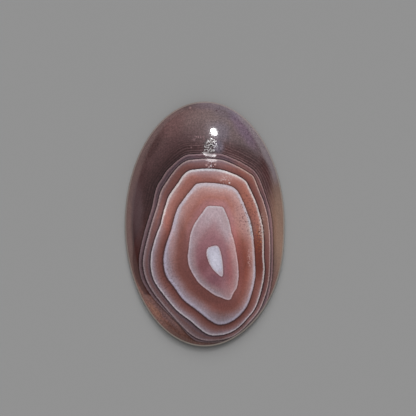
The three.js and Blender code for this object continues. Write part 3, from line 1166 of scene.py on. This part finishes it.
def with_bands(nodes, palette, place, depths, fibre, colour):
    """The colour with the bands laid over it, each with a dark seam in front of its line."""
    x, y, _ = nodes.parts(place)
    slant = nodes.total(nodes.product(x, 0.5), nodes.product(y, 0.6))
    upperness = nodes.step(slant, -8.5, 3.5)
    fine = nodes.unrest(place, 3.6, 2.0, 0.7)
    grit = nodes.total(nodes.product(fine, 1.4), nodes.product(fibre, 0.7))
    following = depths[1:] + [nodes.maths("SUBTRACT", depths[-1], CORE_DEPTH)]
    for band, depth, next_depth in zip(BANDS, depths, following):
        seam = nodes.step(depth, -1.7 * SEAM_WIDTH, -0.5 * SEAM_WIDTH, 0.0, band.seam)
        colour = nodes.blend(seam, colour, palette.plum, "MULTIPLY")
        inside = band_colour(nodes, palette, place, band, depth, next_depth, upperness, grit)
        softest = 0.05 + 0.6 * max(band.line_width[1] - 0.2, 0.0)
        softness = nodes.step(upperness, 0.6, 0.0, 0.05, softest)
        colour = nodes.blend(nodes.step(depth, -0.05, softness), colour, inside)
    return colour


def with_grains(nodes, palette, place, colour, polished):
    """Painted light on the polish, loose grains and small dots, some of them painted glints and painted shade
    in pits, all on the dome only.
    """
    # Painted light on the polish round the lamp's reflection
    colour = stained(nodes, palette, place, colour, PAINTED_POLISH_LIGHT, polished)
    scattered = scatter(nodes, place)
    pale = nodes.step(scattered, 0.54, 0.60)
    dark = nodes.step(scattered, 0.44, 0.38)
    for grains in GRAINS:
        patch = nodes.patch(place, grains.centre, grains.radii)
        strength = nodes.product(patch, dark if grains.dark else pale, grains.strength, polished)
        colour = nodes.blend(strength, colour, getattr(palette, grains.colour))
    for dot in DOTS:
        patch = nodes.patch(place, dot.centre, (dot.radius, dot.radius), full=0.4)
        strength = nodes.product(patch, dot.strength, polished)
        colour = nodes.blend(strength, colour, getattr(palette, dot.colour))
    return colour


def about_one(nodes, *swings):
    """A brightness that differs from 1 by the product of these."""
    return nodes.total(1.0, nodes.product(*swings))


def painted_edge_glow(nodes, place):
    """Painted light: how much brighter the colour is made where the stone is thin and light would come
    through it, most of all at the banded end."""
    x, _, _ = nodes.parts(place)
    aside = nodes.step(nodes.maths("ABSOLUTE", x), 2.0, 9.0, 0.25, 1.0)
    side = nodes.step(x, -9.0, 9.0, 0.65, 1.1)
    return about_one(nodes, nodes.region(place, THIN_EDGE), aside, side)


def fine_texture(nodes, place, depths, bearing, fibre):
    """Small changes of brightness: streaks along the bands, fibres across them, brushing and speckles."""
    x, y, _ = nodes.parts(place)
    laminae = nodes.step(streaks(nodes, depths[2], bearing, 2.6), 0.3, 0.7, 0.95, 1.05)
    towards_lower_end = nodes.step(y, -4.0, -11.0, 0.3, 1.0)
    fibres = about_one(nodes, fibre, towards_lower_end, FIBRE_CONTRAST)
    brushed = nodes.unrest(nodes.vector("MULTIPLY", place, BRUSHING), 1.0, 2.0, 0.6)
    brushing = about_one(nodes, brushed, nodes.patch(place, *BRUSHED_PATCH), BRUSHING_CONTRAST)
    calm = nodes.step(nodes.maths("ABSOLUTE", x), 10.5, 12.5, 1.0, 0.45)
    contrast = nodes.step(depths[0], 0.2, -0.4, *SPECKLE_CONTRAST)
    speckles = about_one(nodes, nodes.unrest(place, 2.9, 3.0, 0.85), contrast, calm)
    return nodes.product(laminae, fibres, brushing, speckles)


def banded_colour(nodes, palette, place, polished):
    """The colour of the stone, from the rind in to the core, with painted light brightening its thin edge."""
    depths = wavering_depths(nodes, place)
    bearing = growth_bearing(nodes, place)
    fibre = nodes.unrest(nodes.vector("SCALE", bearing, 60.0), 1.0, 2.0, 0.6)
    colour = rind_colour(nodes, palette, place, depths[0], bearing)
    colour = with_bands(nodes, palette, place, depths, fibre, colour)
    colour = clouded(nodes, place, colour)
    colour = with_grains(nodes, palette, place, colour, polished)
    texture = fine_texture(nodes, place, depths, bearing, fibre)
    # Painted light: the thin edge is brightened in the colour itself
    return nodes.vector("SCALE", colour, nodes.product(painted_edge_glow(nodes, place), texture))


def frosted(nodes, palette, place, ground, colour):
    """The colour, paler on the ground parts, and on the edge most of all towards the lower right, where
    painted light lifts it out of the shade away from the lamps.
    """
    bearing = nodes.vector("NORMALIZE", nodes.vector("MULTIPLY", place, (1.0, 1.0, 0.0)))
    facing = nodes.vector("DOT_PRODUCT", bearing, EDGE_LIGHT_DIRECTION, output="Value")
    _, _, z = nodes.parts(place)
    on_edge = nodes.step(z, 0.05, 0.4)
    # Painted light: the edge is made paler where it lies in shade away from the lamps
    edge_frost_and_light = nodes.total(EDGE_FROST, nodes.product(facing, EDGE_LIGHT_SWING))
    frost = nodes.total(FROST, nodes.product(on_edge, edge_frost_and_light))
    return nodes.blend(nodes.product(ground, frost), colour, palette.ground)


def worn_roughness(nodes, place, ground):
    """Low on the polish, higher where it is worn and on the ground parts."""
    polish = nodes.step(nodes.grain(place, 0.35, 3.0), 0.3, 0.7, *POLISH_ROUGHNESS)
    roughness = nodes.total(polish, nodes.product(ground, GROUND_ROUGHER))
    for centre, radii, rougher in WORN:
        patch = nodes.patch(place, centre, radii, full=0.6)
        roughness = nodes.total(roughness, nodes.product(patch, rougher))
    return roughness


def dent_slopes(nodes, place, spot):
    """How far the small dents of the flat spot turn the surface, across and along the stone."""
    dents = nodes.vector("SCALE", nodes.wander(place, 1.3, 0.5, 1.0), DENTS_PER_MILLIMETRE)
    elsewhere = nodes.vector("ADD", dents, (7.0, 3.0, 0.0))
    across = nodes.product(nodes.unrest(dents, 1.0, 1.0), spot, DENT_SLOPE)
    along = nodes.product(nodes.unrest(elsewhere, 1.0, 1.0), spot, DENT_SLOPE)
    return across, along


def worked_normal(nodes, place, polished):
    """The normal where the wheel has flattened the dome below the lamp's reflection. The flat spot, but for
    its pits, and the strokes lean all over as the dome does at the reflection, and small dents cover the
    spot."""
    x, y, _ = nodes.parts(place)
    unsteady = nodes.wander(place, 1.3, 0.8)
    below_lamp = nodes.region(place, BELOW_LAMP)
    above_strokes = nodes.region(place, ABOVE_STROKES)
    spot = nodes.product(nodes.patch(unsteady, *FLAT_SPOT, full=0.75), above_strokes, below_lamp)
    pits = nodes.step(scatter(nodes, place), 0.42, 0.36)
    share = nodes.product(spot, FLAT_SHARE, nodes.maths("SUBTRACT", 1.0, pits))
    for stroke in STROKES:
        patch = nodes.patch(unsteady, *stroke, full=0.55)
        share = nodes.total(share, nodes.product(patch, STROKE_SHARE))

    lean = nodes.product(nodes.maths("SUBTRACT", REFLECTION[1], y), DOME_TURN[1])
    lean = nodes.product(nodes.total(lean, FLAT_LEAN), share)
    wide = nodes.product(nodes.patch(place, *FLATTENED, full=0.7), below_lamp)
    turn = nodes.product(nodes.maths("SUBTRACT", REFLECTION[0], x), DOME_TURN[0], wide)
    across, along = dent_slopes(nodes, place, spot)
    tilt = nodes.joined(nodes.total(turn, across), nodes.total(lean, along))
    into_room = nodes.add(
        "ShaderNodeVectorTransform", vector_type="VECTOR", convert_from="OBJECT", convert_to="WORLD"
    )
    nodes.feed(into_room.inputs[0], nodes.vector("SCALE", tilt, polished))
    normal = nodes.add("ShaderNodeNewGeometry").outputs["Normal"]
    return nodes.vector("NORMALIZE", nodes.vector("ADD", normal, into_room.outputs[0]))


def surface_height(nodes, place, ground, polished):
    """Height of the finest unevenness, in millimetres: grit and scratches on the ground parts, and a few
    ripples in the polish."""
    _, _, z = nodes.parts(place)
    grit = nodes.product(nodes.grain(place, 11.0, 3.0, 0.7), ground, GRIT_HEIGHT)
    scratches = nodes.grain(nodes.vector("MULTIPLY", place, LAPPING), 1.0, 2.0, 0.6)
    lapping = nodes.product(scratches, ground, nodes.step(z, 0.3, 0.1), SCRATCH_HEIGHT)
    centre, radii, ripple_height = RIPPLES
    patch = nodes.product(nodes.patch(place, centre, radii, full=0.5), polished)
    waves = nodes.unrest(nodes.vector("SCALE", place, 2.2), 1.0, 1.0)
    return nodes.total(grit, lapping, nodes.product(waves, patch, ripple_height))


def agate_material(palette):
    """Banded agate, polished on the dome and ground on the girdle, the bevel and the back."""
    material = bpy.data.materials.new("polished_banded_agate")
    material.use_nodes = True
    material.node_tree.nodes.clear()
    nodes = Nodes(material.node_tree)
    place = stone_place(nodes)
    ground = nodes.attribute("ground")
    polished = nodes.maths("SUBTRACT", 1.0, ground)
    colour = banded_colour(nodes, palette, place, polished)
    colour = frosted(nodes, palette, place, ground, colour)
    roughness = worn_roughness(nodes, place, ground)

    bump = nodes.add("ShaderNodeBump")
    nodes.feed(bump.inputs["Height"], surface_height(nodes, place, ground, polished))
    nodes.feed(bump.inputs["Normal"], worked_normal(nodes, place, polished))
    bump.inputs["Distance"].default_value = MM

    shader = nodes.add("ShaderNodeBsdfPrincipled")
    nodes.feed(shader.inputs["Base Color"], colour)
    nodes.feed(shader.inputs["Roughness"], roughness)
    nodes.feed(shader.inputs["Normal"], bump.outputs[0])
    shader.inputs["IOR"].default_value = REFRACTIVE_INDEX
    output = nodes.add("ShaderNodeOutputMaterial")
    nodes.feed(output.inputs["Surface"], shader.outputs[0])
    return material


# operators


def add_attribute(mesh, name, kind, values):
    attribute = mesh.attributes.new(name, kind, "POINT")
    key = "value" if kind == "FLOAT" else "vector"
    attribute.data.foreach_set(key, np.ascontiguousarray(values, np.float32).ravel())


def add_flat_map(mesh, flat_map):
    """Writes the flat map as UVs, scaled to fill the square from 0 to 1."""
    low = flat_map.min(0)
    scale = (1 - 2 * MAP_MARGIN) / (flat_map - low).max()
    corners = np.zeros(len(mesh.loops), int)
    mesh.loops.foreach_get("vertex_index", corners)
    layer = mesh.uv_layers.new(name="OFBake")
    placed = (flat_map - low) * scale + MAP_MARGIN
    layer.uv.foreach_set("vector", placed[corners].astype(np.float32).ravel())


class AGATE_OT_cut_stone(bpy.types.Operator):
    """Cut the oval stone, draw the bands through it and polish it"""

    bl_idname = "agate.cut_stone"
    bl_label = "Cut Stone"
    bl_options = {"REGISTER", "UNDO"}

    def execute(self, context):
        surface = stone_surface(context.scene.agate_cut)
        mesh = bpy.data.meshes.new("banded_agate_stone")
        mesh.from_pydata(surface.points.tolist(), [], surface.faces)
        if mesh.validate():
            raise RuntimeError("the stone's mesh has faulty faces")
        mesh.shade_smooth()
        depths = band_depths(surface)
        add_attribute(mesh, "outer_bands", "FLOAT_VECTOR", np.column_stack(depths[:3]))
        add_attribute(mesh, "inner_bands", "FLOAT_VECTOR", np.column_stack(depths[3:]))
        add_attribute(mesh, "ground", "FLOAT", surface.ground)
        add_flat_map(mesh, surface.flat_map)
        mesh.materials.append(agate_material(context.scene.agate_colours))
        stone = bpy.data.objects.new("banded_agate_stone", mesh)
        context.scene.collection.objects.link(stone)
        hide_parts("agate_cabochon")
        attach(stone, "root")
        return {"FINISHED"}


def add_sun(context, studio, name, glossy):
    """A distant round light, with the height, bearing, width and strength that the studio has for it."""
    height, bearing, width, strength = (
        getattr(studio, f"{name}_{part}") for part in ("height", "bearing", "width", "strength")
    )
    light = bpy.data.lights.new(name, "SUN")
    light.angle = width
    light.energy = strength
    lamp = bpy.data.objects.new(name, light)
    level = math.cos(height)
    towards = Vector((level * math.cos(bearing), level * math.sin(bearing), math.sin(height)))
    lamp.rotation_euler = towards.to_track_quat("Z", "Y").to_euler()
    lamp.location = towards * LIGHT_DISTANCE
    lamp.visible_glossy = glossy
    context.scene.collection.objects.link(lamp)


def add_floor(context, colour):
    """A wide sheet of pale, dull paper."""
    mesh = bpy.data.meshes.new("floor")
    line = [FLOOR_REACH * (2 * step / FLOOR_SQUARES - 1) for step in range(FLOOR_SQUARES + 1)]
    points = [(x, y, 0.0) for y in line for x in line]
    row = FLOOR_SQUARES + 1
    corners = [first + step for first in range(0, row * FLOOR_SQUARES, row) for step in range(FLOOR_SQUARES)]
    mesh.from_pydata(points, [], [(a, a + 1, a + row + 1, a + row) for a in corners])
    material = bpy.data.materials.new("pale_paper")
    material.use_nodes = True
    shader = material.node_tree.nodes["Principled BSDF"]
    shader.inputs["Base Color"].default_value = tuple(colour) + (1.0,)
    shader.inputs["Roughness"].default_value = 1.0
    shader.inputs["Specular IOR Level"].default_value = 0.0
    mesh.materials.append(material)
    floor = bpy.data.objects.new("floor", mesh)
    context.scene.collection.objects.link(floor)


def dim_room(studio):
    """The room round the stone: dark at the height of the stone and lighter above."""
    world = bpy.data.worlds.new("room")
    world.use_nodes = True
    nodes = Nodes(world.node_tree)
    direction = nodes.add("ShaderNodeTexCoord").outputs["Generated"]
    _, _, height = nodes.parts(direction)
    greys = [(at, (part,) * 3) for at, part in zip(ROOM_HEIGHTS, (studio.room_low, studio.room_high))]
    nodes.feed(world.node_tree.nodes["Background"].inputs["Color"], nodes.ramp(height, greys))
    return world


def add_camera(context, studio):
    """A camera that looks straight down."""
    camera = bpy.data.cameras.new("camera")
    camera.sensor_width = SENSOR_WIDTH
    camera.lens = SENSOR_WIDTH * studio.camera_height / studio.view_width
    camera.clip_start = NEAREST_SEEN
    camera.clip_end = FARTHEST_SEEN
    eye = bpy.data.objects.new("camera", camera)
    eye.location = (studio.view_x, studio.view_y, studio.camera_height)
    context.scene.collection.objects.link(eye)
    context.scene.camera = eye


class AGATE_OT_set_stage(bpy.types.Operator):
    """Lay out the pale floor, the lights and the camera straight above the stone"""

    bl_idname = "agate.set_stage"
    bl_label = "Set Stage"
    bl_options = {"REGISTER", "UNDO"}

    def execute(self, context):
        scene = context.scene
        studio = scene.agate_studio
        add_floor(context, studio.floor)
        for name, glossy in (("lamp", True), ("soft_light", False), ("fill", False)):
            add_sun(context, studio, name, glossy)
        scene.world = dim_room(studio)
        add_camera(context, studio)
        scene.view_settings.view_transform = "Standard"
        scene.view_settings.look = "None"
        return {"FINISHED"}


class AGATE_PT_panel(bpy.types.Panel):
    """Tools for cutting and showing the stone"""

    bl_idname = "AGATE_PT_panel"
    bl_label = "Banded Agate"
    bl_space_type = "VIEW_3D"
    bl_region_type = "UI"
    bl_category = "Agate"

    def draw(self, context):
        scene = context.scene
        groups = (
            (scene.agate_cut, AGATE_OT_cut_stone),
            (scene.agate_colours, None),
            (scene.agate_studio, AGATE_OT_set_stage),
        )
        for group, operator in groups:
            box = self.layout.box()
            for name in group.bl_rna.properties.keys():
                if name not in ("rna_type", "name"):
                    box.prop(group, name)
            if operator:
                box.operator(operator.bl_idname)


CLASSES = (AgateCut, AgateColours, AgateStudio, AGATE_OT_cut_stone, AGATE_OT_set_stage, AGATE_PT_panel)


def register():
    for item in CLASSES:
        bpy.utils.register_class(item)
    bpy.types.Scene.agate_cut = PointerProperty(type=AgateCut)
    bpy.types.Scene.agate_colours = PointerProperty(type=AgateColours)
    bpy.types.Scene.agate_studio = PointerProperty(type=AgateStudio)


def unregister():
    del bpy.types.Scene.agate_studio
    del bpy.types.Scene.agate_colours
    del bpy.types.Scene.agate_cut
    for item in reversed(CLASSES):
        bpy.utils.unregister_class(item)


def main():
    register()
    bpy.ops.agate.cut_stone()
    bpy.ops.agate.set_stage()


if __name__ == "__main__":
    main()
